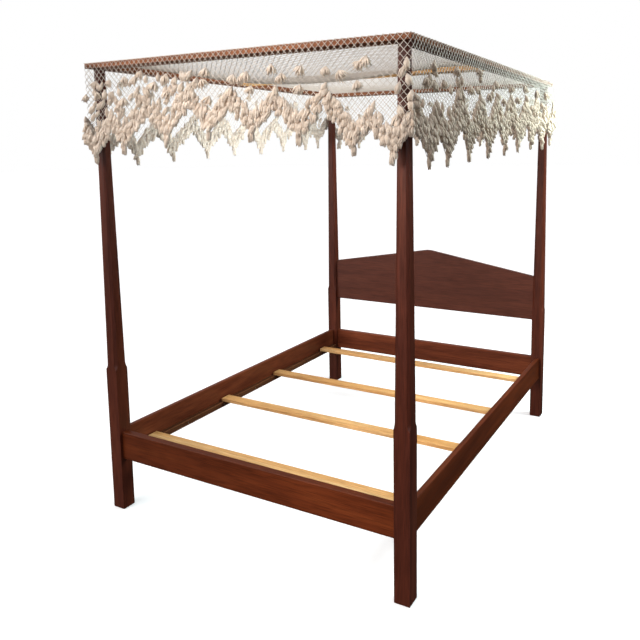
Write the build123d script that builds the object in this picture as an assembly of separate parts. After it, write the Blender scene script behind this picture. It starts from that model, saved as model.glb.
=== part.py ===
from build123d import *
import math
import os

# Four poster canopy bed. +X is the bed's right side seen from its foot, +Y points to the
# headboard, +Z is up. The origin is on the floor, at the centre of the bed.
# All sizes are in millimetres.

# Overall
BED_WIDTH = 1620.0
BED_LENGTH = 2134.0

# Pencil posts: square at the bottom, octagonal and tapering above a chamfer stop
POST_SIDE = 68.0
POST_HEIGHT = 2140.0
SQUARE_TOP = 712.0
STOP_LENGTH = 28.0
POST_TOP_FLATS = 41.0
OCTAGON_CHAMFER = 0.18  # each corner cut, as a share of the side
POST_FOOT_CHAMFER = 4.0

# Rails
RAIL_BOTTOM = 260.0
RAIL_TOP = 397.0
RAIL_SETBACK = 15.0
END_RAIL_THICKNESS = 34.0
SIDE_RAIL_THICKNESS = 25.0
RAIL_EASE = 3.0
TENON_LENGTH = 30.0
TENON_THICKNESS = 16.0
TENON_SHOULDER = 13.0

# Headboard: one board with a low gable
HEADBOARD_THICKNESS = 22.0
HEADBOARD_BOTTOM = 645.0
HEADBOARD_CORNER = 933.0
HEADBOARD_PEAK = 1060.0
HEADBOARD_PEAK_RADIUS = 180.0
HEADBOARD_EASE = 2.5
HEADBOARD_TENON_LENGTH = 26.0
HEADBOARD_TENON_THICKNESS = 12.0
HEADBOARD_TENON_Z = (668.0, 908.0)

# Ledgers and loose slats
LEDGER_DEPTH = 28.0
LEDGER_HEIGHT = 28.0
LEDGER_HALF_LENGTH = 990.0
LEDGER_SCREW_SPACING = 300.0
LEDGER_SCREWS_EACH_WAY = 3
SLAT_WIDTH = 64.0
SLAT_THICKNESS = 19.0
SLAT_END_GAP = 12.0
SLAT_EASE = 1.5
SLAT_CENTRES = (-848.0, -269.0, 245.0, 822.0)

# Side rail brackets: a hook plate on the rail end, a slotted plate let into the post
PLATE_THICKNESS = 2.5
PLATE_WIDTH = 16.0
PLATE_HEIGHT = 112.0
HOOK_THICKNESS = 3.0
HOOK_REACH = 9.0
HOOK_NECK = 12.0
HOOK_DROP = 10.0
HOOK_CLEARANCE = 0.5
HOOK_SPACING = 50.0
SLOT_WIDTH = 5.0
SLOT_MARGIN = 1.0
POCKET_WIDTH = 8.0
POCKET_DEPTH = 13.0
PLATE_SCREW_SPACING = 96.0

# Wood screws: head radius, shank radius, head depth, whole length
LEDGER_SCREW = (4.2, 2.1, 2.6, 38.0)
PLATE_SCREW = (3.5, 1.8, 2.2, 20.0)

# Tester: flat boards half-lapped at the corners, held on a steel pin in each post
BOARD_WIDTH = 90.0
BOARD_THICKNESS = 22.0
BOARD_EASE = 1.5
CROSS_SLAT_WIDTH = 90.0
CROSS_SLAT_Y = -30.0
CROSS_SLAT_LAP = 50.0
PIN_RADIUS = 4.75
PIN_HOLE_RADIUS = 5.25
PIN_DEPTH = 40.0
PIN_BELOW_TOP = 2.0
PIN_HEAD_CHAMFER = 1.5

# Canopy: a net on top and one hanging on each side, with a zigzag band of tufts
NET_THICKNESS = 2.5
NET_GAP = 0.3
BAND_THICKNESS = 16.0
BAND_HEIGHT = 100.0
HEM_SLOPE = 0.95
FOOT_HEM = 1835.0
FOOT_HEM_BOW = 105.0
HEAD_HEM = 1814.0
HEAD_HEM_BOW = 10.0
SIDE_HEM = 1765.0
SIDE_HEM_RISE = 0.045
END_TIP_PITCH = 236.0
END_TIP_COUNT = 6
END_CORNER_TIP = 66.0
SIDE_TIP_PITCH = 256.0
SIDE_TIP_COUNT = 7
SIDE_CORNER_TIP = 128.0
TASSEL_RADIUS = 10.0
TASSEL_LENGTH = 40.0
TASSEL_ROUNDING = 5.0
TASSEL_GAP = 1.0

# Worked out from the sizes above
POST_X = BED_WIDTH / 2 - POST_SIDE / 2
POST_Y = BED_LENGTH / 2 - POST_SIDE / 2
INNER_X = BED_WIDTH / 2 - POST_SIDE
INNER_Y = BED_LENGTH / 2 - POST_SIDE
TAPER_START = SQUARE_TOP + STOP_LENGTH
END_RAIL_OUT = BED_LENGTH / 2 - RAIL_SETBACK
END_RAIL_IN = END_RAIL_OUT - END_RAIL_THICKNESS
END_RAIL_Y = (END_RAIL_OUT + END_RAIL_IN) / 2
SIDE_RAIL_OUT = BED_WIDTH / 2 - RAIL_SETBACK
SIDE_RAIL_IN = SIDE_RAIL_OUT - SIDE_RAIL_THICKNESS
SIDE_RAIL_X = (SIDE_RAIL_OUT + SIDE_RAIL_IN) / 2
RAIL_MIDDLE_Z = (RAIL_TOP + RAIL_BOTTOM) / 2
LEDGER_TOP = RAIL_BOTTOM + LEDGER_HEIGHT
TESTER_X = POST_X + BOARD_WIDTH / 2
TESTER_Y = POST_Y + BOARD_WIDTH / 2
TESTER_IN_X = POST_X - BOARD_WIDTH / 2
TESTER_IN_Y = POST_Y - BOARD_WIDTH / 2
TESTER_TOP = POST_HEIGHT + BOARD_THICKNESS
TESTER_MIDDLE = POST_HEIGHT + BOARD_THICKNESS / 2
NET_IN_X = TESTER_X + NET_GAP
NET_IN_Y = TESTER_Y + NET_GAP
NET_OUT_X = NET_IN_X + NET_THICKNESS
NET_OUT_Y = NET_IN_Y + NET_THICKNESS
NET_UNDER_TOP = TESTER_TOP + NET_GAP
NET_TOP = NET_UNDER_TOP + NET_THICKNESS
BAND_OUT_X = NET_OUT_X + BAND_THICKNESS
BAND_OUT_Y = NET_OUT_Y + BAND_THICKNESS


def save(shape, node):
    """Write one node's STEP file."""
    export_step(shape, "parts/" + node + ".step")


def block(x, y, z):
    """A box between two values on each axis, given in any order."""
    size = [abs(span[1] - span[0]) for span in (x, y, z)]
    middle = [(span[0] + span[1]) / 2 for span in (x, y, z)]
    return Pos(*middle) * Box(*size)


def centred(middle, width):
    """The two ends of a span of this width."""
    return (middle - width / 2, middle + width / 2)


def eased_board(x, y, z, along, ease):
    """A board with its four long edges rounded over."""
    board = block(x, y, z)
    return fillet(board.edges().filter_by(along), ease)


# ---- Posts ----

def corner_cutter():
    """What the octagon's chamfer takes off one corner, with a hollow stop at its lower end.

    It is drawn in the upright plane through the post's axis and that corner.
    """
    corner = POST_SIDE / math.sqrt(2)
    start = corner * (1 - OCTAGON_CHAMFER)
    end = POST_TOP_FLATS / math.sqrt(2) * (1 - OCTAGON_CHAMFER)
    depth = corner - start
    radius = (depth ** 2 + STOP_LENGTH ** 2) / (2 * depth)
    half_sweep = math.asin(STOP_LENGTH / radius) / 2
    stop_middle = (
        start + radius * (1 - math.cos(half_sweep)),
        TAPER_START - radius * math.sin(half_sweep),
    )
    outside = 2 * corner
    diagonal = Plane(origin=(0, 0, 0), x_dir=(1, 1, 0), z_dir=(1, -1, 0))
    stop = ThreePointArc((corner, SQUARE_TOP), stop_middle, (start, TAPER_START))
    rest = Polyline(
        (start, TAPER_START),
        (end, POST_HEIGHT),
        (outside, POST_HEIGHT),
        (outside, SQUARE_TOP),
        (corner, SQUARE_TOP),
    )
    profile = make_face([diagonal * edge for edge in stop.edges() + rest.edges()])
    return extrude(profile, amount=POST_SIDE, both=True)


def plain_post():
    """A pencil post on the Z axis, before its joints are cut."""
    lower = block(centred(0, POST_SIDE), centred(0, POST_SIDE), (0, TAPER_START))
    lower = chamfer(lower.faces().sort_by(Axis.Z)[0].edges(), POST_FOOT_CHAMFER)
    taper_bottom = Pos(0, 0, TAPER_START) * Rectangle(POST_SIDE, POST_SIDE)
    taper_top = Pos(0, 0, POST_HEIGHT) * Rectangle(POST_TOP_FLATS, POST_TOP_FLATS)
    post = lower + loft([taper_bottom, taper_top])
    cutter = corner_cutter()
    for quarter in range(4):
        post -= Rot(0, 0, 90 * quarter) * cutter
    return post


def end_rail_tenon(sx, sy):
    """The end rail's tenon, where it sits in this post."""
    return block(
        (sx * INNER_X, sx * (INNER_X + TENON_LENGTH)),
        centred(sy * END_RAIL_Y, TENON_THICKNESS),
        (RAIL_BOTTOM + TENON_SHOULDER, RAIL_TOP - TENON_SHOULDER),
    )


def headboard_tenon(sx):
    """The headboard's tenon, where it sits in a head post."""
    return block(
        (sx * (INNER_X - HEADBOARD_EASE), sx * (INNER_X + HEADBOARD_TENON_LENGTH)),
        centred(POST_Y, HEADBOARD_TENON_THICKNESS),
        HEADBOARD_TENON_Z,
    )


# ---- Side rail brackets ----
# Each bracket is drawn for the rail's +Y end at x = 0 and then mirrored into place.

def hook_heights():
    """The heights of the two hooks' necks on one plate."""
    return centred(RAIL_MIDDLE_Z, HOOK_SPACING)


def bracket_plate(y):
    """One flat plate, its thickness between two y values."""
    return block(centred(0, PLATE_WIDTH), y, centred(RAIL_MIDDLE_Z, PLATE_HEIGHT))


def hook_plate():
    """A plate let into the rail's end, with two hooks that drop behind the slotted plate."""
    plate = bracket_plate((INNER_Y - PLATE_THICKNESS, INNER_Y))
    across = centred(0, HOOK_THICKNESS)
    behind = INNER_Y + PLATE_THICKNESS + HOOK_CLEARANCE
    tip = INNER_Y + HOOK_REACH
    for z in hook_heights():
        plate += block(across, (INNER_Y, tip), (z, z + HOOK_NECK))
        plate += block(across, (behind, tip), (z - HOOK_DROP, z))
    return plate


def slotted_plate():
    """A plate let into the post, with two slots that the hooks go through."""
    reach = (INNER_Y, INNER_Y + PLATE_THICKNESS)
    plate = bracket_plate(reach)
    for z in hook_heights():
        slot_z = (z - HOOK_DROP - SLOT_MARGIN, z + HOOK_NECK + SLOT_MARGIN)
        plate -= block(centred(0, SLOT_WIDTH), reach, slot_z)
    return plate


def hook_pocket():
    """The room in the post behind the slotted plate, where the hooks hang."""
    hooks = hook_heights()
    low = hooks[0] - HOOK_DROP - 2 * SLOT_MARGIN
    high = hooks[1] + HOOK_NECK + 2 * SLOT_MARGIN
    deep = (INNER_Y + PLATE_THICKNESS, INNER_Y + POCKET_DEPTH)
    return block(centred(0, POCKET_WIDTH), deep, (low, high))


def screw(sizes):
    """A countersunk wood screw, its head's face at the origin, pointing down."""
    head, shank, head_depth, length = sizes
    cone = Pos(0, 0, -head_depth / 2) * Cone(shank, head, head_depth)
    stem_length = length - head_depth
    stem = Pos(0, 0, -head_depth - stem_length / 2) * Cylinder(shank, stem_length)
    return cone + stem


def plate_screws(direction):
    """The two screws of one plate, driven towards +Y (1) or -Y (-1) from the plate's face."""
    turn = Rot(90 * direction, 0, 0)
    heights = centred(RAIL_MIDDLE_Z, PLATE_SCREW_SPACING)
    return [Pos(0, INNER_Y, z) * turn * screw(PLATE_SCREW) for z in heights]


def at_rail_end(shape, sx, sy):
    """Move a bracket piece from the +Y end at x = 0 to one of the four rail ends."""
    placed = shape if sy > 0 else mirror(shape, about=Plane.XZ)
    return Pos(sx * SIDE_RAIL_X, 0, 0) * placed


# ---- Build: posts, rails, brackets ----

os.makedirs("parts", exist_ok=True)

POSTS = {
    "post_foot_left": (-1, -1),
    "post_foot_right": (1, -1),
    "post_head_left": (-1, 1),
    "post_head_right": (1, 1),
}
SIDES = {"left": -1, "right": 1}

pencil_post = plain_post()
pin_hole = Pos(0, 0, POST_HEIGHT - PIN_DEPTH / 2) * Cylinder(PIN_RADIUS, PIN_DEPTH)
hooks = []
slotted = []
bracket_screws = []
posts = {}
for node, (sx, sy) in POSTS.items():
    post = Pos(sx * POST_X, sy * POST_Y, 0) * (pencil_post - pin_hole)
    post -= end_rail_tenon(sx, sy)
    post -= at_rail_end(bracket_plate((INNER_Y, INNER_Y + PLATE_THICKNESS)), sx, sy)
    post -= at_rail_end(hook_pocket(), sx, sy)
    if sy > 0:
        post -= headboard_tenon(sx)
    post_screws = [at_rail_end(s, sx, sy) for s in plate_screws(1)]
    rail_screws = [at_rail_end(s, sx, sy) for s in plate_screws(-1)]
    hook = at_rail_end(hook_plate(), sx, sy)
    slot = at_rail_end(slotted_plate(), sx, sy)
    for part_screw in post_screws:
        post -= part_screw
        slot -= part_screw
    for part_screw in rail_screws:
        hook -= part_screw
    hooks.append(hook)
    slotted.append(slot)
    bracket_screws += post_screws + rail_screws
    posts[node] = post
    save(post, node)

for node, sy in {"foot_rail": -1, "head_rail": 1}.items():
    rail = eased_board(
        (-INNER_X, INNER_X),
        (sy * END_RAIL_IN, sy * END_RAIL_OUT),
        (RAIL_BOTTOM, RAIL_TOP),
        Axis.X,
        RAIL_EASE,
    )
    rail += end_rail_tenon(-1, sy)
    rail += end_rail_tenon(1, sy)
    save(rail, node)

ledger_screws = []
for side, sx in SIDES.items():
    rail = eased_board(
        (sx * SIDE_RAIL_IN, sx * SIDE_RAIL_OUT),
        (-INNER_Y, INNER_Y),
        (RAIL_BOTTOM, RAIL_TOP),
        Axis.Y,
        RAIL_EASE,
    )
    for sy in (-1, 1):
        rail -= at_rail_end(bracket_plate((INNER_Y - PLATE_THICKNESS, INNER_Y)), sx, sy)
        for part_screw in plate_screws(-1):
            rail -= at_rail_end(part_screw, sx, sy)
    ledger_in = SIDE_RAIL_IN - LEDGER_DEPTH
    ledger = block(
        (sx * ledger_in, sx * SIDE_RAIL_IN),
        (-LEDGER_HALF_LENGTH, LEDGER_HALF_LENGTH),
        (RAIL_BOTTOM, LEDGER_TOP),
    )
    head_out = Rot(0, -90 * sx, 0)
    for step in range(-LEDGER_SCREWS_EACH_WAY, LEDGER_SCREWS_EACH_WAY + 1):
        place = Pos(sx * ledger_in, step * LEDGER_SCREW_SPACING, RAIL_BOTTOM + LEDGER_HEIGHT / 2)
        part_screw = place * head_out * screw(LEDGER_SCREW)
        ledger -= part_screw
        rail -= part_screw
        ledger_screws.append(part_screw)
    save(rail, "side_rail_" + side)
    save(ledger, "ledger_" + side)

save(Compound(hooks), "hook_plates")
save(Compound(slotted), "slotted_plates")
save(Compound(bracket_screws), "bracket_screws")
save(Compound(ledger_screws), "ledger_screws")

# ---- Headboard ----

gable = make_face(Polyline(
    (-INNER_X - HEADBOARD_EASE, HEADBOARD_BOTTOM),
    (-INNER_X - HEADBOARD_EASE, HEADBOARD_CORNER),
    (0, HEADBOARD_PEAK),
    (INNER_X + HEADBOARD_EASE, HEADBOARD_CORNER),
    (INNER_X + HEADBOARD_EASE, HEADBOARD_BOTTOM),
    close=True,
))
peak = gable.vertices().sort_by(Axis.Y)[-1]
gable = Plane.XZ * fillet(peak, HEADBOARD_PEAK_RADIUS)
board = Pos(0, POST_Y, 0) * extrude(gable, amount=HEADBOARD_THICKNESS / 2, both=True)
long_edges = board.edges().filter_by(Axis.Y, reverse=True).filter_by(Axis.Z, reverse=True)
board = fillet(long_edges, HEADBOARD_EASE)
for node, (sx, sy) in POSTS.items():
    if sy > 0:
        board -= Pos(sx * POST_X, POST_Y, 0) * pencil_post
        board += headboard_tenon(sx)
save(board, "headboard")

# ---- Slats ----

for index, middle in enumerate(SLAT_CENTRES):
    slat_half = SIDE_RAIL_IN - SLAT_END_GAP
    slat = eased_board(
        (-slat_half, slat_half),
        centred(middle, SLAT_WIDTH),
        (LEDGER_TOP, LEDGER_TOP + SLAT_THICKNESS),
        Axis.X,
        SLAT_EASE,
    )
    save(slat, "slat_" + str(index + 1))

# ---- Tester frame ----

POST_AXES = [(sx * POST_X, sy * POST_Y) for sx, sy in POSTS.values()]
tester_pin_hole = Pos(0, 0, TESTER_MIDDLE) * Cylinder(PIN_HOLE_RADIUS, BOARD_THICKNESS)
pin_holes = [Pos(x, y, 0) * tester_pin_hole for x, y in POST_AXES]

for node, sy in {"tester_foot_board": -1, "tester_head_board": 1}.items():
    board = eased_board(
        (-TESTER_X, TESTER_X),
        (sy * TESTER_IN_Y, sy * TESTER_Y),
        (POST_HEIGHT, TESTER_TOP),
        Axis.X,
        BOARD_EASE,
    )
    for sx in (-1, 1):
        board -= block(
            (sx * TESTER_IN_X, sx * TESTER_X),
            (sy * TESTER_IN_Y, sy * TESTER_Y),
            (POST_HEIGHT, TESTER_MIDDLE),
        )
    for hole in pin_holes:
        board -= hole
    save(board, node)

for side, sx in SIDES.items():
    board = eased_board(
        (sx * TESTER_IN_X, sx * TESTER_X),
        (-TESTER_Y, TESTER_Y),
        (POST_HEIGHT, TESTER_TOP),
        Axis.Y,
        BOARD_EASE,
    )
    for sy in (-1, 1):
        board -= block(
            (sx * TESTER_IN_X, sx * TESTER_X),
            (sy * TESTER_IN_Y, sy * TESTER_Y),
            (TESTER_MIDDLE, TESTER_TOP),
        )
    board -= block(
        (sx * TESTER_IN_X, sx * (TESTER_IN_X + CROSS_SLAT_LAP)),
        centred(CROSS_SLAT_Y, CROSS_SLAT_WIDTH),
        (TESTER_MIDDLE, TESTER_TOP),
    )
    for hole in pin_holes:
        board -= hole
    save(board, "tester_" + side + "_board")

slat_end = TESTER_IN_X + CROSS_SLAT_LAP
cross_slat = block(
    (-slat_end, slat_end),
    centred(CROSS_SLAT_Y, CROSS_SLAT_WIDTH),
    (TESTER_MIDDLE, TESTER_TOP),
)
cross_slat += block(
    (-TESTER_IN_X, TESTER_IN_X),
    centred(CROSS_SLAT_Y, CROSS_SLAT_WIDTH),
    (POST_HEIGHT, TESTER_MIDDLE),
)
save(cross_slat, "tester_cross_slat")

pin_length = PIN_DEPTH + BOARD_THICKNESS - PIN_BELOW_TOP
pin = Pos(0, 0, POST_HEIGHT - PIN_DEPTH + pin_length / 2) * Cylinder(PIN_RADIUS, pin_length)
pin = chamfer(pin.edges().sort_by(Axis.Z)[-1], PIN_HEAD_CHAMFER)
save(Compound([Pos(x, y, 0) * pin for x, y in POST_AXES]), "post_pins")

# ---- Canopy ----

class Hem:
    """The zigzag lower edge of one panel, with places measured along the panel from its middle."""

    def __init__(self, half, pitch, count, corner_tip, level, bow=0.0, rise=0.0):
        self.half = half
        self.level = level
        self.bow = bow
        self.rise = rise
        row = [pitch * (step - (count - 1) / 2) for step in range(count)]
        self.tips = [corner_tip - half] + row + [half - corner_tip]

    def tip_level(self, place):
        """The height of the hem's points: lower towards the panel's ends, or rising along it."""
        return self.level - self.bow * (place / self.half) ** 2 + self.rise * place

    def line(self, end):
        """The zigzag from one end of the panel to the other: down to each point, up between them."""
        first, last = self.tips[0], self.tips[-1]
        line = [(-end, self.tip_level(-end) + HEM_SLOPE * (end + first))]
        for place, following in zip(self.tips, self.tips[1:]):
            middle = (place + following) / 2
            line.append((place, self.tip_level(place)))
            line.append((middle, self.tip_level(middle) + HEM_SLOPE * (following - middle)))
        line.append((last, self.tip_level(last)))
        line.append((end, self.tip_level(end) + HEM_SLOPE * (end - last)))
        return line


def hanging_net(hem):
    """A net panel, flat in the XZ plane, from under the top net down to the hem."""
    outline = hem.line(hem.half) + [(hem.half, NET_UNDER_TOP), (-hem.half, NET_UNDER_TOP)]
    face = Plane.XZ * make_face(Polyline(*outline, close=True))
    return extrude(face, amount=-NET_THICKNESS)


def tuft_band(hem, end):
    """The zigzag band of tufts on the outside of a panel."""
    line = hem.line(end)
    upper = [(place, z + BAND_HEIGHT) for place, z in reversed(line)]
    face = Plane.XZ * make_face(Polyline(*(line + upper), close=True))
    return extrude(face, amount=-BAND_THICKNESS)


def tassels(hem):
    """One short tassel under each point of the hem."""
    hanging = Cylinder(TASSEL_RADIUS, TASSEL_LENGTH)
    hanging = fillet(hanging.edges().sort_by(Axis.Z)[0], TASSEL_ROUNDING)
    below = TASSEL_GAP + TASSEL_LENGTH / 2
    middle_y = BAND_THICKNESS / 2
    return [Pos(place, middle_y, hem.tip_level(place) - below) * hanging for place in hem.tips]


top_net = block(
    (-NET_OUT_X, NET_OUT_X),
    (-NET_OUT_Y, NET_OUT_Y),
    (NET_UNDER_TOP, NET_TOP),
)
save(top_net, "canopy_top_net")

end_tips = (NET_OUT_X, END_TIP_PITCH, END_TIP_COUNT, END_CORNER_TIP)
side_tips = (NET_IN_Y, SIDE_TIP_PITCH, SIDE_TIP_COUNT, SIDE_CORNER_TIP)
foot_hem = Hem(*end_tips, FOOT_HEM, bow=FOOT_HEM_BOW)
head_hem = Hem(*end_tips, HEAD_HEM, bow=HEAD_HEM_BOW)
left_hem = Hem(*side_tips, SIDE_HEM, rise=SIDE_HEM_RISE)
right_hem = Hem(*side_tips, SIDE_HEM, rise=-SIDE_HEM_RISE)

# A panel is drawn facing +Y. The turn brings that to each side of the bed in order.
PANELS = {
    "head": (0, head_hem, BAND_OUT_X, NET_IN_Y, NET_OUT_Y),
    "left": (90, left_hem, NET_OUT_Y, NET_IN_X, NET_OUT_X),
    "foot": (180, foot_hem, BAND_OUT_X, NET_IN_Y, NET_OUT_Y),
    "right": (270, right_hem, NET_OUT_Y, NET_IN_X, NET_OUT_X),
}
for side, (turn, hem, band_end, net_at, band_at) in PANELS.items():
    net = Rot(0, 0, turn) * Pos(0, net_at, 0) * hanging_net(hem)
    band = Rot(0, 0, turn) * Pos(0, band_at, 0) * tuft_band(hem, band_end)
    hanging = [Rot(0, 0, turn) * Pos(0, band_at, 0) * t for t in tassels(hem)]
    save(net, "canopy_" + side + "_net")
    save(band, "tuft_band_" + side)
    save(Compound(hanging), "tassels_" + side)
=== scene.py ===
import math

import bpy
import numpy as np
from mathutils import Matrix, Vector


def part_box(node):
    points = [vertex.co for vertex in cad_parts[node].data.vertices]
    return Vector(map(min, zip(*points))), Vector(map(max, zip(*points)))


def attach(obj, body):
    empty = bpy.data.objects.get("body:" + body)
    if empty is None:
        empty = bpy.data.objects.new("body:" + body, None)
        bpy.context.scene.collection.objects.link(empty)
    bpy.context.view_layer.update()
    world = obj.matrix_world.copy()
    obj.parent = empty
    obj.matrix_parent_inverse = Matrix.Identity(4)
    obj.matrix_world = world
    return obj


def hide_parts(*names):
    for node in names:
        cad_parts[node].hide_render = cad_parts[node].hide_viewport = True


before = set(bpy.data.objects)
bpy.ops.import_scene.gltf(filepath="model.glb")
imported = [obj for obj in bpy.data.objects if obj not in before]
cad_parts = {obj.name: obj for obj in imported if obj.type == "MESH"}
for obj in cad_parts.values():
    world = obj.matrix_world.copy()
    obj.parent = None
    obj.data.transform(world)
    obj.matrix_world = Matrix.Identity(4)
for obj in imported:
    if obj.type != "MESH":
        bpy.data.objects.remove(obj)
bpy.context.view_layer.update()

scene = bpy.context.scene

# ---------------------------------------------------------------- camera, light, floor and backdrop

CAMERA_AT = Vector((1.790, -3.2202, 1.7669))
CAMERA_YAW = 0.4902
CAMERA_PITCH = -0.1263
CAMERA_ROLL = -0.0085
CAMERA_LENS = 37.33
CAMERA_SHIFT = (-0.075, -0.1366)

BACKDROP_RADIUS = 60.0
WHITE = (1.0, 1.0, 1.0, 1.0)

DRUM_SIDES = 64
FLOOR_GREY = (0.88, 0.88, 0.88, 1.0)
FLOOR_GLOW = 0.30

# The sky's colour by height, from straight down (0) to straight up (1)
SKY = (
    (0.00, (0.08, 0.07, 0.06)),
    (0.47, (0.13, 0.11, 0.10)),
    (0.53, (0.60, 0.61, 0.64)),
    (1.00, (0.84, 0.88, 0.95)),
)
BRIGHT_WAY = (0.20, -0.98, 0.0)
DIM_SIDE = 0.30
BRIGHT_SIDE = 1.20

KEY_FROM = (-0.46, -0.78, 0.60)
KEY_POWER = 2.1
KEY_SPREAD = 1.1
KEY_COLOUR = (1.0, 0.93, 0.86)
FILL_COLOUR = (0.82, 1.0, 0.98)
INSIDE_COLOUR = (0.90, 0.98, 1.0)

# Each lamp's name, place, aim, power in watts, colour, size and cone angle
LAMPS = (
    ("front", (-0.45, -3.6, 2.2), (0.12, -1.1, 1.68), 275.0, KEY_COLOUR, 0.6, 0.95),
    ("low", (1.0, -3.6, 1.0), (0.50, -1.1, 0.33), 100.0, KEY_COLOUR, 0.4, 0.46),
    ("post", (0.4, -3.6, 1.1), (0.80, -1.1, 1.12), 62.0, KEY_COLOUR, 0.4, 0.46),
    ("inside", (0.50, 0.10, 1.20), (-0.84, 0.12, 1.90), 165.0, INSIDE_COLOUR, 0.4, 1.70),
)


def make_camera():
    """The camera: turned left of +Y, a little down, and very slightly rolled."""
    level = math.cos(CAMERA_PITCH)
    ahead = Vector((-math.sin(CAMERA_YAW) * level, math.cos(CAMERA_YAW) * level, math.sin(CAMERA_PITCH)))
    right = Vector((math.cos(CAMERA_YAW), math.sin(CAMERA_YAW), 0.0))
    up = right.cross(ahead)
    rolled_right = right * math.cos(CAMERA_ROLL) + up * math.sin(CAMERA_ROLL)
    rolled_up = up * math.cos(CAMERA_ROLL) - right * math.sin(CAMERA_ROLL)
    data = bpy.data.cameras.new("camera")
    data.lens = CAMERA_LENS
    data.sensor_width = 36.0
    data.shift_x, data.shift_y = CAMERA_SHIFT
    data.clip_end = 4 * BACKDROP_RADIUS
    camera = bpy.data.objects.new("camera", data)
    turn = Matrix((rolled_right, rolled_up, -ahead)).transposed()
    camera.matrix_world = Matrix.Translation(CAMERA_AT) @ turn.to_4x4()
    scene.collection.objects.link(camera)
    scene.camera = camera


def add_light(kind, name, at, aim, power, colour, shines=True, **shape):
    """A soft light at one point, aimed at another. One that doesn't shine leaves no glint on varnish."""
    data = bpy.data.lights.new(name, kind)
    data.energy = power
    data.color = colour
    for key, value in shape.items():
        setattr(data, key, value)
    light = bpy.data.objects.new(name, data)
    light.location = at
    light.rotation_euler = (Vector(aim) - Vector(at)).to_track_quat("-Z", "Y").to_euler()
    light.visible_camera = False
    light.visible_glossy = shines
    scene.collection.objects.link(light)


def make_lights():
    """A key light from the foot's left, a fill over the right side, and lamps on the darker parts."""
    add_light("SUN", "key", KEY_FROM, (0.0, 0.0, 0.0), KEY_POWER, KEY_COLOUR, angle=KEY_SPREAD)
    add_light("AREA", "fill", (2.2, 1.5, 2.3), (0.84, 0.8, 2.0), 122.0, FILL_COLOUR, shines=False,
              shape="SQUARE", size=1.0)
    for name, at, aim, power, colour, size, cone in LAMPS:
        add_light("SPOT", name, at, aim, power, colour, shines=False,
                  shadow_soft_size=size, spot_size=cone, spot_blend=1.0)


def make_sky():
    """Soft light all round: pale above, dim below, and brighter on the side that faces the foot."""
    world = bpy.data.worlds.new("sky")
    scene.world = world
    world.use_nodes = True
    tree = world.node_tree
    coordinates = tree.nodes.new("ShaderNodeTexCoord")
    direction = coordinates.outputs["Generated"]
    height = tree.nodes.new("ShaderNodeSeparateXYZ")
    tree.links.new(direction, height.inputs[0])
    place = tree.nodes.new("ShaderNodeMapRange")
    place.inputs["From Min"].default_value = -1.0
    tree.links.new(height.outputs["Z"], place.inputs["Value"])
    ramp = tree.nodes.new("ShaderNodeValToRGB")
    tree.links.new(place.outputs["Result"], ramp.inputs["Fac"])
    elements = ramp.color_ramp.elements
    while len(elements) < len(SKY):
        elements.new(0.5)
    for element, (stop, colour) in zip(elements, SKY):
        element.position = stop
        element.color = (*colour, 1.0)
    towards = tree.nodes.new("ShaderNodeVectorMath")
    towards.operation = "DOT_PRODUCT"
    towards.inputs[1].default_value = BRIGHT_WAY
    tree.links.new(direction, towards.inputs[0])
    strength = tree.nodes.new("ShaderNodeMapRange")
    strength.inputs["From Min"].default_value = -1.0
    strength.inputs["To Min"].default_value = DIM_SIDE
    strength.inputs["To Max"].default_value = BRIGHT_SIDE
    tree.links.new(towards.outputs["Value"], strength.inputs["Value"])
    background = tree.nodes["Background"]
    tree.links.new(ramp.outputs["Color"], background.inputs["Color"])
    tree.links.new(strength.outputs["Result"], background.inputs["Strength"])


def stage_piece(name, points, faces, material):
    """A piece of the floor or backdrop. It is seen, and takes shadows, but throws no light back."""
    mesh = bpy.data.meshes.new(name)
    mesh.from_pydata(points, [], faces)
    mesh.materials.append(material)
    piece = bpy.data.objects.new(name, mesh)
    piece.visible_diffuse = False
    piece.visible_glossy = False
    piece.visible_shadow = False
    scene.collection.objects.link(piece)


def make_stage():
    """A pale matt floor, and a white drum with a lid over it."""
    paint = bpy.data.materials.new("floor_paint")
    paint.use_nodes = True
    surface = paint.node_tree.nodes["Principled BSDF"]
    surface.inputs["Base Color"].default_value = FLOOR_GREY
    surface.inputs["Roughness"].default_value = 1.0
    surface.inputs["Specular IOR Level"].default_value = 0.0
    surface.inputs["Emission Color"].default_value = WHITE
    surface.inputs["Emission Strength"].default_value = FLOOR_GLOW
    paper = bpy.data.materials.new("backdrop_paper")
    paper.use_nodes = True
    glow = paper.node_tree.nodes.new("ShaderNodeEmission")
    glow.inputs["Color"].default_value = WHITE
    output = paper.node_tree.nodes["Material Output"]
    paper.node_tree.links.new(glow.outputs[0], output.inputs["Surface"])

    turns = [2 * math.pi * k / DRUM_SIDES for k in range(DRUM_SIDES)]
    edge = [(BACKDROP_RADIUS * math.cos(a), BACKDROP_RADIUS * math.sin(a)) for a in turns]
    low = [(x, y, 0.0) for x, y in edge]
    high = [(x, y, 2 * BACKDROP_RADIUS) for x, y in edge]
    stage_piece("floor", low, [tuple(range(DRUM_SIDES))], paint)
    walls = []
    for k in range(DRUM_SIDES):
        following = (k + 1) % DRUM_SIDES
        walls.append((k, following, DRUM_SIDES + following, DRUM_SIDES + k))
    lid = tuple(range(2 * DRUM_SIDES - 1, DRUM_SIDES - 1, -1))
    stage_piece("backdrop", low + high, walls + [lid], paper)


make_camera()
make_sky()
make_stage()
make_lights()
scene.view_settings.view_transform = "Standard"


# ---------------------------------------------------------------- materials

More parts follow.
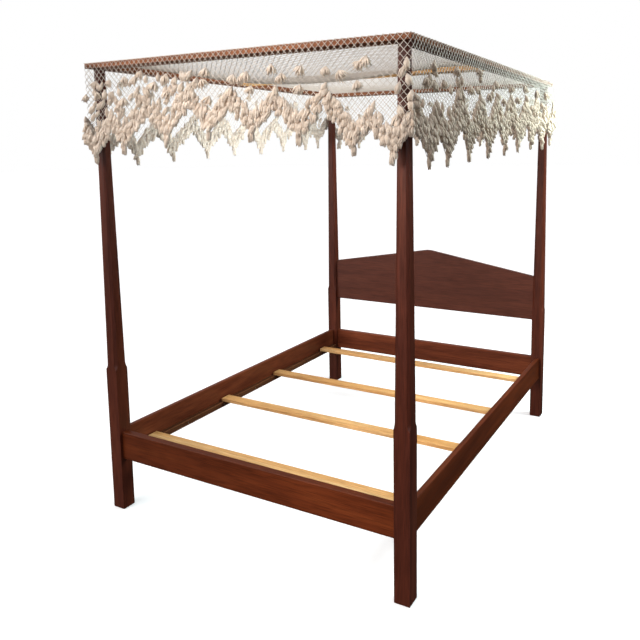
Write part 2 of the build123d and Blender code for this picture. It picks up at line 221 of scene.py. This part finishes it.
class Shader:
    """A new material with short calls for adding and joining nodes."""

    def __init__(self, name):
        self.material = bpy.data.materials.new(name)
        self.material.use_nodes = True
        self.tree = self.material.node_tree
        self.surface = self.tree.nodes["Principled BSDF"]

    def add(self, kind, **settings):
        node = self.tree.nodes.new(kind)
        for key, value in settings.items():
            setattr(node, key, value)
        return node

    def join(self, start, end):
        self.tree.links.new(start, end)

    def fill(self, socket, value):
        """Join a socket to this one, or set a constant on it."""
        if isinstance(value, bpy.types.NodeSocket):
            self.join(value, socket)
        elif isinstance(value, tuple) and len(value) == 3:
            socket.default_value = (*value, 1.0)
        else:
            socket.default_value = value

    def place(self, scale):
        """Object coordinates, scaled."""
        coordinates = self.add("ShaderNodeTexCoord")
        mapping = self.add("ShaderNodeMapping")
        mapping.inputs["Scale"].default_value = scale
        self.join(coordinates.outputs["Object"], mapping.inputs["Vector"])
        return mapping.outputs["Vector"]

    def noise(self, at, scale, detail=4.0, roughness=0.5, distortion=0.0):
        node = self.add("ShaderNodeTexNoise")
        self.join(at, node.inputs["Vector"])
        node.inputs["Scale"].default_value = scale
        node.inputs["Detail"].default_value = detail
        node.inputs["Roughness"].default_value = roughness
        node.inputs["Distortion"].default_value = distortion
        return node.outputs["Fac"]

    def ramp(self, value, *stops):
        """A colour for each value: stops are (place, colour)."""
        node = self.add("ShaderNodeValToRGB")
        self.join(value, node.inputs["Fac"])
        elements = node.color_ramp.elements
        while len(elements) < len(stops):
            elements.new(0.5)
        for element, (place, colour) in zip(elements, stops):
            element.position = place
            element.color = (*colour, 1.0)
        return node.outputs["Color"]

    def spread(self, value, low, high, start=0.3, end=0.7):
        """A value brought from one span to another."""
        node = self.add("ShaderNodeMapRange")
        self.join(value, node.inputs["Value"])
        node.inputs["From Min"].default_value = start
        node.inputs["From Max"].default_value = end
        node.inputs["To Min"].default_value = low
        node.inputs["To Max"].default_value = high
        return node.outputs["Result"]

    def mix(self, factor, one, two, blend="MIX"):
        node = self.add("ShaderNodeMix", data_type="RGBA", blend_type=blend)
        self.fill(node.inputs[0], factor)
        self.fill(node.inputs[6], one)
        self.fill(node.inputs[7], two)
        return node.outputs[2]

    def bump(self, height, strength, distance, under=None):
        node = self.add("ShaderNodeBump")
        node.inputs["Strength"].default_value = strength
        node.inputs["Distance"].default_value = distance
        self.join(height, node.inputs["Height"])
        if under is not None:
            self.join(under, node.inputs["Normal"])
        return node.outputs["Normal"]

    def edges(self, radius):
        """A normal rounded at sharp edges, and how nearly it agrees with the face's own."""
        bevel = self.add("ShaderNodeBevel", samples=4)
        bevel.inputs["Radius"].default_value = radius
        geometry = self.add("ShaderNodeNewGeometry")
        dot = self.add("ShaderNodeVectorMath", operation="DOT_PRODUCT")
        self.join(bevel.outputs["Normal"], dot.inputs[0])
        self.join(geometry.outputs["Normal"], dot.inputs[1])
        return bevel.outputs["Normal"], dot.outputs["Value"]

    def set(self, **values):
        """Set or join the surface's own sockets."""
        for name, value in values.items():
            self.fill(self.surface.inputs[name.replace("_", " ")], value)


def along(axis, lengthways, across):
    """A scale for grain that runs along one axis."""
    return tuple(lengthways if one == axis else across for one in "xyz")


def wood(name, axis, colours, gloss, rough, worn, contrast=1.0, edge=0.0022):
    """Grained wood: growth bands, fine fibres and pores along one axis, and edges rubbed lighter."""
    dark, middle, light = colours
    m = Shader(name)
    broad = m.noise(m.place(along(axis, 0.5, 6.0)), 2.2, 5.0, 0.55, 0.8)
    half = 0.22 / contrast
    band = m.ramp(broad, (0.50 - half, dark), (0.52, middle), (0.52 + half, light))
    fibre = m.noise(m.place(along(axis, 5.0, 150.0)), 2.0, 3.0, 0.6)
    fine = m.ramp(fibre, (0.34, (0.62, 0.60, 0.58)), (0.60, (1.12, 1.12, 1.12)))
    grained = m.mix(1.0, band, fine, "MULTIPLY")
    patch = m.noise(m.place(along(axis, 0.8, 1.6)), 1.7, 2.0)
    shade = m.ramp(patch, (0.32, (0.84, 0.84, 0.84)), (0.68, (1.08, 1.08, 1.08)))
    mottled = m.mix(1.0, grained, shade, "MULTIPLY")
    normal, flatness = m.edges(edge)
    rubbed = m.spread(flatness, 0.5, 0.0, 0.80, 0.985)
    worn_colour = tuple(min(1.0, value * worn) for value in light)
    m.set(Base_Color=m.mix(rubbed, mottled, worn_colour))
    m.set(Roughness=m.spread(fibre, rough - 0.05, rough + 0.09))
    m.set(Normal=m.bump(fibre, 0.10, 0.0006, normal))
    m.set(Specular_IOR_Level=gloss)
    return m.material


YARN_FIBRES = 260.0
YARN_LIGHT_REACH = 0.028


def yarn(name, colours, lengthways, sheen, through):
    """Soft cotton: fine twisted fibres, uneven colour, and a felted sheen. through lets light in."""
    low, high = colours
    m = Shader(name)
    patch = m.noise(m.place((1.0, 1.0, 1.0)), 22.0, 3.0)
    base = m.ramp(patch, (0.32, low), (0.68, high))
    fibre = m.noise(m.place((YARN_FIBRES, YARN_FIBRES, lengthways)), 3.0, 3.0, 0.65)
    shade = m.ramp(fibre, (0.30, (0.86, 0.84, 0.82)), (0.62, (1.0, 1.0, 1.0)))
    m.set(Base_Color=m.mix(1.0, base, shade, "MULTIPLY"))
    m.set(Subsurface_Weight=through, Subsurface_Scale=YARN_LIGHT_REACH)
    m.surface.inputs["Subsurface Radius"].default_value = (1.0, 0.9, 0.8)
    m.set(Roughness=m.spread(fibre, 0.86, 0.97))
    m.set(Normal=m.bump(fibre, 0.5, 0.0012))
    m.set(Sheen_Weight=sheen, Sheen_Roughness=0.55, Sheen_Tint=(1.0, 0.97, 0.93))
    m.set(Specular_IOR_Level=0.15)
    return m.material


def steel(name):
    """Dull zinc-plated steel with fine scratches."""
    m = Shader(name)
    scratch = m.noise(m.place((40.0, 40.0, 900.0)), 1.0, 3.0, 0.6)
    m.set(Base_Color=m.ramp(scratch, (0.3, (0.16, 0.155, 0.15)), (0.7, (0.30, 0.29, 0.28))))
    m.set(Roughness=m.spread(scratch, 0.38, 0.55))
    m.set(Normal=m.bump(scratch, 0.2, 0.0002))
    m.set(Metallic=1.0)
    return m.material


# Each wood's dark, middle and light colour, and each cotton's low and high one
POST_STAIN = ((0.044, 0.0085, 0.0040), (0.076, 0.0155, 0.0070), (0.110, 0.025, 0.011))
RAIL_STAIN = ((0.062, 0.0115, 0.0030), (0.102, 0.0200, 0.0050), (0.145, 0.032, 0.0085))
# The rail stain made lighter for the head rail and the left rail, which are better lit: painted light
RAIL_STAIN_PAINTED_LIGHT = ((0.090, 0.0200, 0.0085), (0.146, 0.0350, 0.0140), (0.205, 0.053, 0.0210))
LEDGER_STAIN = ((0.060, 0.0200, 0.0085), (0.095, 0.0330, 0.0140), (0.130, 0.050, 0.0220))
BOARD_STAIN = ((0.064, 0.0150, 0.0080), (0.094, 0.0235, 0.0125), (0.128, 0.034, 0.0175))
TESTER_END_STAIN = ((0.17, 0.060, 0.030), (0.27, 0.105, 0.050), (0.37, 0.150, 0.075))
# The tester's side boards: the same wood as the end boards, made darker, which is painted shade
TESTER_SIDE_STAIN_PAINTED_SHADE = ((0.10, 0.032, 0.014), (0.17, 0.060, 0.027), (0.25, 0.095, 0.045))
PINE = ((0.55, 0.26, 0.078), (0.71, 0.39, 0.150), (0.82, 0.54, 0.26))
NET_COTTON = ((0.60, 0.54, 0.48), (0.72, 0.66, 0.59))
TUFT_COTTON = ((0.72, 0.57, 0.445), (0.85, 0.69, 0.55))
# A darker copy of the tuft cotton for the right side, which is painted shade
COTTON_PAINTED_SHADE = ((0.53, 0.415, 0.325), (0.63, 0.51, 0.405))

post_wood = wood("post_wood", "z", POST_STAIN, gloss=0.36, rough=0.34, worn=1.5)
# The head and left rails take the lighter copy of the rail stain, which is painted light
head_rail_wood = wood("head_rail_wood", "x", RAIL_STAIN_PAINTED_LIGHT, gloss=0.21, rough=0.38, worn=1.3)
left_rail_wood = wood("left_rail_wood", "y", RAIL_STAIN_PAINTED_LIGHT, gloss=0.21, rough=0.38, worn=1.3)
ledger_wood = wood("ledger_wood", "y", LEDGER_STAIN, gloss=0.15, rough=0.5, worn=4.0, edge=0.006)
end_rail_wood = wood("end_rail_wood", "x", RAIL_STAIN, gloss=0.21, rough=0.38, worn=1.4)
side_rail_wood = wood("side_rail_wood", "y", RAIL_STAIN, gloss=0.21, rough=0.38, worn=1.4)
headboard_wood = wood("headboard_wood", "x", BOARD_STAIN, gloss=0.5, rough=0.34, worn=1.5, contrast=0.7)
tester_end_wood = wood("tester_end_wood", "x", TESTER_END_STAIN, gloss=0.2, rough=0.5, worn=1.3)
# Painted shade: the side boards take a darker copy of the tester wood
tester_side_wood_painted_shade = wood("tester_side_wood_painted_shade", "y", TESTER_SIDE_STAIN_PAINTED_SHADE, gloss=0.2, rough=0.5, worn=1.3)
pine = wood("pine_wood", "x", PINE, gloss=0.35, rough=0.55, worn=1.05)
net_cotton = yarn("net_cotton", NET_COTTON, lengthways=260.0, sheen=0.15, through=0.0)
tuft_cotton = yarn("tuft_cotton", TUFT_COTTON, lengthways=50.0, sheen=0.35, through=0.5)
# Painted shade: the right side's cotton is the tuft cotton made darker, and it lets less light through
painted_shade_cotton = yarn("tuft_cotton_painted_shade", COTTON_PAINTED_SHADE, lengthways=50.0, sheen=0.2, through=0.10)
plated = steel("zinc_plated_steel")

FINISH = {
    "post": post_wood,
    "foot_rail": end_rail_wood,
    "head_rail": head_rail_wood,
    "headboard": headboard_wood,
    "side_rail_left": left_rail_wood,
    "side_rail_right": side_rail_wood,
    "ledger": ledger_wood,
    "slat": pine,
    "tester_cross": pine,
    "tester_foot": tester_end_wood,
    "tester_head": tester_end_wood,
    "tester_left": tester_side_wood_painted_shade,
    "tester_right": tester_side_wood_painted_shade,
    "hook": plated,
    "slotted": plated,
    "bracket": plated,
    "ledger_screws": plated,
    "post_pins": plated,
}
for node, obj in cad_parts.items():
    found = [start for start in FINISH if node.startswith(start)]
    if found:
        obj.data.materials.clear()
        obj.data.materials.append(FINISH[max(found, key=len)])


# ---------------------------------------------------------------- the net canopy

# The mesh's cells, and the half-thickness of its cords, which are KNOT times as wide as thick
CELL = 0.028
CELL_DROP = 0.029
FOOT_CORD = 0.0016
HEAD_CORD = 0.00082
HUNG_CORD = 0.0011
KNOT = 1.4

# How the net hangs: its sag over each bay, how far knots stray, and how the valance leaves the boards
FOOT_SAG = 0.084
HEAD_SAG = 0.020
DRIFT = 0.0045
SWING = 0.006
FLARE = 0.02
FULL_SWING_DEPTH = 0.15
CALM_CORNER = 0.05
CALM_EDGE = 0.001
CORNER = 0.012
CORNER_TUCK = 0.3


def mesh_object(name, points, faces, material, body):
    """A smooth-shaded mesh that rides on a body."""
    mesh = bpy.data.meshes.new(name)
    mesh.from_pydata(points.tolist(), [], faces)
    mesh.update()
    mesh.shade_smooth()
    mesh.materials.append(material)
    obj = bpy.data.objects.new(name, mesh)
    scene.collection.objects.link(obj)
    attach(obj, body)
    return obj


class Tubes:
    """Collects cords, each a closed tube through a run of points."""

    def __init__(self, sides):
        self.sides = sides
        self.points = []
        self.faces = []
        self.count = 0

    def add(self, centres, wide, thick, closed=False):
        """wide and thick are each point's two half-width vectors."""
        turn = np.arange(self.sides) * (2 * math.pi / self.sides)
        ring = (
            centres[:, None, :]
            + wide[:, None, :] * np.cos(turn)[None, :, None]
            + thick[:, None, :] * np.sin(turn)[None, :, None]
        )
        n = len(centres)
        index = self.count + np.arange(n * self.sides).reshape(n, self.sides)
        after = np.roll(index, -1, axis=0)
        self.points.append(ring.reshape(-1, 3))
        last = n if closed else n - 1
        here, there = index[:last], after[:last]
        for step in range(self.sides):
            following = (step + 1) % self.sides
            quads = (here[:, step], here[:, following], there[:, following], there[:, step])
            self.faces += np.stack(quads, 1).tolist()
        if not closed:
            self.faces.append(index[0][::-1].tolist())
            self.faces.append(index[-1].tolist())
        self.count += n * self.sides

    def build(self, name, material, body, slot):
        return mesh_object(name, np.concatenate(self.points), self.faces, material, body)


def waves(u, v, seed, count=6, low=2.0, high=9.0):
    """Smooth unevenness, mostly between -1 and 1, over two coordinates in metres."""
    pick = np.random.default_rng(seed)
    total = np.zeros(np.broadcast(u, v).shape)
    for _ in range(count):
        angle = pick.uniform(0, 2 * math.pi)
        rate = pick.uniform(low, high)
        phase = pick.uniform(0, 2 * math.pi)
        total = total + np.sin(rate * (u * math.cos(angle) + v * math.sin(angle)) * 2 + phase)
    return total / math.sqrt(count)


net_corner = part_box("canopy_top_net")[1]
cross_low, cross_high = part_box("tester_cross_slat")

HALF_X = net_corner.x - HUNG_CORD
HALF_Y = net_corner.y - HUNG_CORD
NET_Z = net_corner.z - HUNG_CORD
CELLS_X = round(2 * HALF_X / CELL)
CELLS_Y = round(2 * HALF_Y / CELL)
STEP_X = HALF_X / CELLS_X
STEP_Y = HALF_Y / CELLS_Y
INNER_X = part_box("tester_right_board")[0].x
INNER_Y = -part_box("tester_foot_board")[1].y


def sag(x, y):
    """How far the top net hangs down between the tester boards and the cross slat."""
    across = np.clip(1 - (x / INNER_X) ** 2, 0, 1)
    total = np.zeros(np.broadcast(x, y).shape)
    for low, high, depth in ((-INNER_Y, cross_low.y, FOOT_SAG), (cross_high.y, INNER_Y, HEAD_SAG)):
        middle = (low + high) / 2
        half = (high - low) / 2
        total = total + depth * across * np.clip(1 - ((y - middle) / half) ** 2, 0, 1)
    return total


def make_top_net(name, from_cell, to_cell, cord):
    """Part of the top net: zigzag cords along X, knotted to their neighbours."""
    tubes = Tubes(3)
    i = np.arange(2 * CELLS_X + 1)
    for row in range(2 * from_cell, 2 * to_cell):
        level = row + (i + row) % 2
        x = -HALF_X + i * STEP_X
        y = -HALF_Y + level * STEP_Y
        inside = (np.abs(x) < HALF_X - CALM_EDGE) & (np.abs(y) < HALF_Y - CALM_EDGE)
        drift_x = DRIFT * waves(x, y, 11) * inside
        drift_y = DRIFT * waves(x, y, 12) * inside
        centres = np.stack([x + drift_x, y + drift_y, NET_Z - sag(x, y)], 1)
        wide = np.zeros_like(centres)
        wide[:, 1] = cord * KNOT
        thick = np.zeros_like(centres)
        thick[:, 2] = cord
        tubes.add(centres, wide, thick)
    return tubes.build(name, net_cotton, "tester", "net_cotton")


# The hem's points: even spacing, how many in the row, and how far the two outer ones are from the corners
END_TIPS = (0.236, 6, 0.066)
LONG_TIPS = (0.256, 7, 0.128)
FOOT_SHIFTS = (0.0, 0.017, 0.032, 0.043, 0.017, 0.005, 0.014, 0.0)
TIP_JITTER = 0.012

# The hem's slope beside a point, how much lower it bows at a side's ends, and how it climbs to the head
HEM_SLOPE = 0.95
FOOT_BOW = 0.105
HEAD_BOW = 0.010
SIDE_RISE = 0.045
LEAST_HEM = 0.02
HEM_MARGIN = 0.004
ROUND_CORNER = 0.012


def jitter(count, seed):
    pick = np.random.default_rng(seed)
    return [pick.uniform(-TIP_JITTER, TIP_JITTER) for _ in range(count)]


class Side:
    """One side of the tester, seen from outside, with places measured from its middle."""

    def __init__(self, name, outward, forward, tips, shifts, bow=0.0, rise=0.0):
        self.name = name
        self.outward = Vector((*outward, 0.0))
        self.forward = Vector((*forward, 0.0))
        crossways = outward[0] == 0.0
        self.half, self.other = (HALF_X, HALF_Y) if crossways else (HALF_Y, HALF_X)
        self.cells = 2 * (CELLS_X if crossways else CELLS_Y)
        self.step = 2 * self.half / self.cells
        self.bow = bow
        self.rise = rise
        self.seed = 21 + 3 * len(name)
        pitch, count, corner_tip = tips
        row = [pitch * (k - (count - 1) / 2) for k in range(count)]
        even = [corner_tip - self.half] + row + [self.half - corner_tip]
        self.tips = [place + shift for place, shift in zip(even, shifts)]
        lowest = min(self.level(place) for place in even)
        self.middle_depth = NET_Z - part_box("tuft_band_" + name)[0].z + lowest

    def level(self, place):
        """How much higher the hem's points are at a place than in the side's middle."""
        return self.rise * place - self.bow * (place / self.half) ** 2

    def tip_depth(self, place):
        return self.middle_depth - self.level(place)

    def hem_depth(self, place):
        """How far the net reaches below the tester's top, at one place."""
        return self.tip_depth(place) - HEM_SLOPE * min(abs(place - tip) for tip in self.tips)

    def slope_reach(self, k, way):
        """How far one slope of the hem runs from tip k: half way to the next tip, or round the corner."""
        tip = self.tips[k]
        neighbour = k + way
        if 0 <= neighbour < len(self.tips):
            return abs(self.tips[neighbour] - tip) / 2
        return self.half - abs(tip) + ROUND_CORNER

    def point(self, place, depth, out=0.0):
        """A point of the hanging net, which flares and swings a little."""
        hang = min(1.0, depth / FULL_SWING_DEPTH)
        at = (np.array(place), np.array(depth * 1.5))
        swing = SWING * waves(*at, self.seed, 5, 2.0, 7.0) * hang
        away = max(0.0, min(1.0, (self.half - abs(place)) / CALM_CORNER))
        drift = DRIFT * hang * away
        place = place + drift * waves(*at, self.seed + 1, 5, 3.0, 14.0)
        depth = depth + drift * waves(*at, self.seed + 2, 5, 3.0, 14.0)
        edge = max(0.0, abs(place) - (self.half - CORNER))
        inward = CORNER - math.sqrt(max(0.0, CORNER ** 2 - edge ** 2))
        reach = self.other + FLARE * depth + swing + out - inward * CORNER_TUCK
        return self.outward * reach + self.forward * place + Vector((0.0, 0.0, NET_Z - depth))


# In the order that the valance runs round the tester
SIDES = (
    Side("foot", (0.0, -1.0), (1.0, 0.0), END_TIPS, FOOT_SHIFTS, bow=FOOT_BOW),
    Side("right", (1.0, 0.0), (0.0, 1.0), LONG_TIPS, jitter(9, 3), rise=SIDE_RISE),
    Side("head", (0.0, 1.0), (-1.0, 0.0), END_TIPS, jitter(8, 2), bow=HEAD_BOW),
    Side("left", (-1.0, 0.0), (0.0, -1.0), LONG_TIPS, jitter(9, 4), rise=-SIDE_RISE),
)
DEEPEST = max(side.tip_depth(tip) for side in SIDES for tip in side.tips)


def make_valance():
    """The hanging net, one zigzag cord under another, cut to the hem's points."""
    tubes = Tubes(4)
    stations = [(side, -side.half + k * side.step) for side in SIDES for k in range(side.cells)]
    total = len(stations)
    hems = [max(side.hem_depth(place), LEAST_HEM) + HEM_MARGIN for side, place in stations]
    for row in range(int(DEEPEST / (CELL_DROP / 2)) + 1):
        runs = []
        run = []
        for k in range(total + 1):
            side, place = stations[k % total]
            depth = (row + (k + row) % 2) * CELL_DROP / 2
            if depth <= hems[k % total]:
                run.append((side, place, depth))
            else:
                runs.append(run)
                run = []
        closed = len(run) == total + 1
        runs.append(run[:-1] if closed else run)
        for one in runs:
            if len(one) < 2:
                continue
            centres = np.array([side.point(place, depth) for side, place, depth in one])
            wide = np.zeros_like(centres)
            wide[:, 2] = -HUNG_CORD * KNOT
            thick = np.array([side.outward * HUNG_CORD for side, *_ in one])
            tubes.add(centres, wide, thick, closed)
    return tubes.build("canopy_valance", net_cotton, "tester", "net_cotton")


# ---------------------------------------------------------------- tufts and tassels

# A tuft's locks: their outline, how they belly out, and how flat the tuft lies on the net
LOCKS = 10
LOCK_SIDES = 4
LOCK_HEIGHTS = (0.0, 0.5, 1.0)
LOCK_WIDTHS = (0.60, 1.0, 0.5)
BELLY_END = 0.75
FLATNESS = 0.7
OVAL = dict(thick=0.095, spread=0.19, bulge=0.9, ragged=0.13)
FAN = dict(thick=0.075, spread=0.36, bulge=0.35, ragged=0.18)


def tuft_shape(seed, thick, spread, bulge, ragged):
    """A bunch of cut yarn, 1 long, hanging from the origin: locks tied at a knot that spread below it."""
    pick = np.random.default_rng(seed)
    turns = np.arange(LOCK_SIDES) * (2 * math.pi / LOCK_SIDES)
    points = []
    faces = []
    for lock in range(LOCKS):
        way = 2 * math.pi * lock / (LOCKS - 1) + pick.uniform(-0.3, 0.3)
        reach = 0.0 if lock == 0 else spread * pick.uniform(0.8, 1.2)
        length = 1 - pick.uniform(0.0, ragged) - 0.5 * ragged * (lock % 2)
        first = len(points) * LOCK_SIDES
        turn = turns + way
        for height, width in zip(LOCK_HEIGHTS, LOCK_WIDTHS):
            belly = math.sin(math.pi * min(height, BELLY_END) * 0.9)
            away = reach * ((1 - bulge) * height + bulge * belly)
            radius = thick * width * pick.uniform(0.85, 1.15)
            x = away * math.cos(way) + radius * np.cos(turn)
            y = FLATNESS * away * math.sin(way) + radius * np.sin(turn)
            points.append(np.stack([x, y, np.full(LOCK_SIDES, -height * length)], 1))
        for ring in range(len(LOCK_HEIGHTS) - 1):
            start = first + ring * LOCK_SIDES
            for k in range(LOCK_SIDES):
                following = (k + 1) % LOCK_SIDES
                below = start + LOCK_SIDES
                faces.append((start + k, below + k, below + following, start + following))
        faces.append(tuple(range(first, first + LOCK_SIDES)))
        faces.append(tuple(range(below + LOCK_SIDES - 1, below - 1, -1)))
    return np.concatenate(points), faces


OVALS = [tuft_shape(100 + k, **OVAL) for k in range(8)]
FANS = [tuft_shape(200 + k, **FAN) for k in range(8)]
rng = np.random.default_rng(7)


class Tufts:
    """Collects tufts into one mesh."""

    def __init__(self, cotton):
        self.cotton = cotton
        self.points = []
        self.faces = []
        self.count = 0

    def add(self, at, side, length, lean, out_lean, fat, shapes):
        """Hang a tuft from a point. lean tips its end forward and out_lean tips it outward."""
        points, faces = shapes[rng.integers(len(shapes))]
        down = Vector((0.0, 0.0, -1.0))
        down += side.forward * math.tan(lean) + side.outward * math.tan(out_lean)
        down.normalize()
        across = down.cross(side.outward).normalized()
        front = across.cross(down).normalized()
        if rng.random() < 0.5:
            across, front = -across, -front
        matrix = np.array([across * fat, front * fat, -down]) * length
        self.points.append(points @ matrix + np.array(at))
        self.faces += [tuple(v + self.count for v in face) for face in faces]
        self.count += len(points)

    def build(self, name):
        points = np.concatenate(self.points)
        return mesh_object(name, points, self.faces, self.cotton, "tester")


# Rows of tufts up from the hem. The right side, which is seen at a slant, has more of them
TUFT_SPACING = 0.0185
ROWS = 4
ROW_DROP = 0.019
RIGHT_ROWS = 5
RIGHT_ROW_DROP = 0.026
TIE_RISE = 0.029
TUFT_LENGTH = (0.034, 0.046)
HIGHEST_TUFT = 0.02
TUFT_OUT = 0.003

# Tassels, each a few slim bunches tied just above a point of the hem
BUNCHES = 3
BUNCH_LENGTH = (0.050, 0.060)
BUNCH_FATNESS = 0.62
BUNCH_RISE = 0.016
BUNCH_OUT = 0.004

# Fans of yarn, in twos: their depths below the tester's top, and how far each turns from the pair's middle.
# The foot side has extra ones, each given by its distance from a tip and its depth
BETWEEN_TIPS_DEPTH = 0.08
OVER_TIP_DEPTH = 0.15
FOOT_EXTRAS = ((0.0, 0.075), (-0.05, 0.115))
FAN_LENGTH = (0.036, 0.048)
FAN_TURNS = (-0.2, 0.2)

# Tufts down the net at the foot's right-hand corner, and loose ones over each side's left half
CORNER_TUFTS = 9
CORNER_TOP = 0.085
CORNER_STEP = 0.028
CORNER_LENGTH = (0.040, 0.050)
FOOT_CROWD = 90
CROWD = 30
CROWD_LENGTH = (0.038, 0.050)


class Trimming:
    """The tufts and tassels of one side."""

    def __init__(self, side):
        self.side = side
        # The right side's tufts take the darker cotton, which is painted shade
        cotton = painted_shade_cotton if side.name == "right" else tuft_cotton
        self.tufts = Tufts(cotton)
        self.tassels = Tufts(cotton)

    def hang(self, place, depth, length, lean, out_lean, fat, shapes=OVALS):
        """Hang a tuft on the net, unless its place is past the corner or too high."""
        side = self.side
        if abs(place) < side.half + ROUND_CORNER and depth > HIGHEST_TUFT:
            at = side.point(place, depth, TUFT_OUT)
            self.tufts.add(at, side, length, lean, out_lean, fat, shapes)

    def hang_slope(self, tip, way, reach):
        """Rows of tufts along one slope of the hem."""
        right = self.side.name == "right"
        rows, drop = (RIGHT_ROWS, RIGHT_ROW_DROP) if right else (ROWS, ROW_DROP)
        count = max(2, round(reach * math.hypot(1, HEM_SLOPE) / TUFT_SPACING))
        for row in range(rows):
            for step in range(count + 1):
                outwards = reach * (step + 0.5 * (row % 2)) / count
                if outwards > reach:
                    continue
                place = tip + way * outwards + rng.normal(0, 0.003)
                length = rng.uniform(*TUFT_LENGTH)
                hem = self.side.tip_depth(tip) - HEM_SLOPE * outwards
                depth = hem - drop * row + rng.normal(0, 0.004)
                lean = rng.uniform(0.10, 0.50) * (-way if rng.random() < 0.55 else way * 0.6)
                out_lean = rng.uniform(0.03, 0.45)
                fat = rng.uniform(0.85, 1.12)
                self.hang(place, depth - TIE_RISE, length, lean, out_lean, fat)

    def hang_tassel(self, tip):
        """A tassel at one point of the hem."""
        side = self.side
        for _ in range(BUNCHES):
            place = tip + rng.normal(0, 0.004)
            at = side.point(place, side.tip_depth(tip) - BUNCH_RISE, BUNCH_OUT)
            length = rng.uniform(*BUNCH_LENGTH)
            lean = rng.normal(0, 0.06)
            out_lean = rng.normal(0.04, 0.05)
            self.tassels.add(at, side, length, lean, out_lean, BUNCH_FATNESS, OVALS)

    def hang_fans(self):
        """Fans of yarn in twos, higher up the net."""
        side = self.side
        for tip, following in zip(side.tips, side.tips[1:]):
            spots = [((tip + following) / 2, BETWEEN_TIPS_DEPTH), (tip, OVER_TIP_DEPTH)]
            if side.name == "foot":
                spots += [(tip + away, depth) for away, depth in FOOT_EXTRAS]
            for place, depth in spots:
                place = place + rng.normal(0, 0.012)
                depth = depth + rng.normal(0, 0.014)
                lean = rng.uniform(-0.5, 0.5)
                for turn in FAN_TURNS:
                    length = rng.uniform(*FAN_LENGTH)
                    out_lean = rng.uniform(0.1, 0.35)
                    fat = rng.uniform(1.0, 1.25)
                    self.hang(place, depth, length, lean + turn, out_lean, fat, FANS)

    def hang_corner(self):
        """A ragged line of tufts down the net at the side's right-hand corner."""
        for k in range(CORNER_TUFTS):
            place = self.side.half - rng.uniform(-0.008, 0.05)
            length = rng.uniform(*CORNER_LENGTH)
            lean = rng.uniform(-0.5, 0.5)
            out_lean = rng.uniform(0.1, 0.4)
            fat = rng.uniform(0.95, 1.2)
            self.hang(place, CORNER_TOP + CORNER_STEP * k, length, lean, out_lean, fat)

    def hang_crowd(self, count):
        """Loose tufts scattered over the side's left half."""
        side = self.side
        for _ in range(count):
            place = -side.half * rng.uniform(0.15, 0.95)
            lean = rng.choice((-1, 1)) * rng.uniform(0.15, 0.6)
            depth = rng.uniform(0.07, side.hem_depth(place) - 0.08)
            length = rng.uniform(*CROWD_LENGTH)
            out_lean = rng.uniform(0.05, 0.3)
            fat = rng.uniform(0.8, 1.1)
            self.hang(place, depth, length, lean, out_lean, fat)

    def build(self):
        name = self.side.name
        return self.tufts.build("tufts_" + name), self.tassels.build("tassels_" + name + "_yarn")


def trim(side):
    """All the tufts of one side, and the tassels at its hem's points."""
    trimming = Trimming(side)
    for k, tip in enumerate(side.tips):
        for way in (-1, 1):
            trimming.hang_slope(tip, way, side.slope_reach(k, way))
        trimming.hang_tassel(tip)
    trimming.hang_fans()
    if side.name == "foot":
        trimming.hang_corner()
    trimming.hang_crowd(FOOT_CROWD if side.name == "foot" else CROWD)
    return trimming.build()


# ---------------------------------------------------------------- the canopy put together

half_way = CELLS_Y // 2
top_foot = make_top_net("canopy_top_foot_half", 0, half_way, FOOT_CORD)
top_head = make_top_net("canopy_top_head_half", half_way, CELLS_Y, HEAD_CORD)
valance = make_valance()
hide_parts("canopy_top_net")
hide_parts("canopy_foot_net", "canopy_head_net", "canopy_left_net", "canopy_right_net")

hung = []
for side in SIDES:
    tufts, tassels = trim(side)
    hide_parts("tuft_band_" + side.name)
    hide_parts("tassels_" + side.name)
    hung += [tufts, tassels]
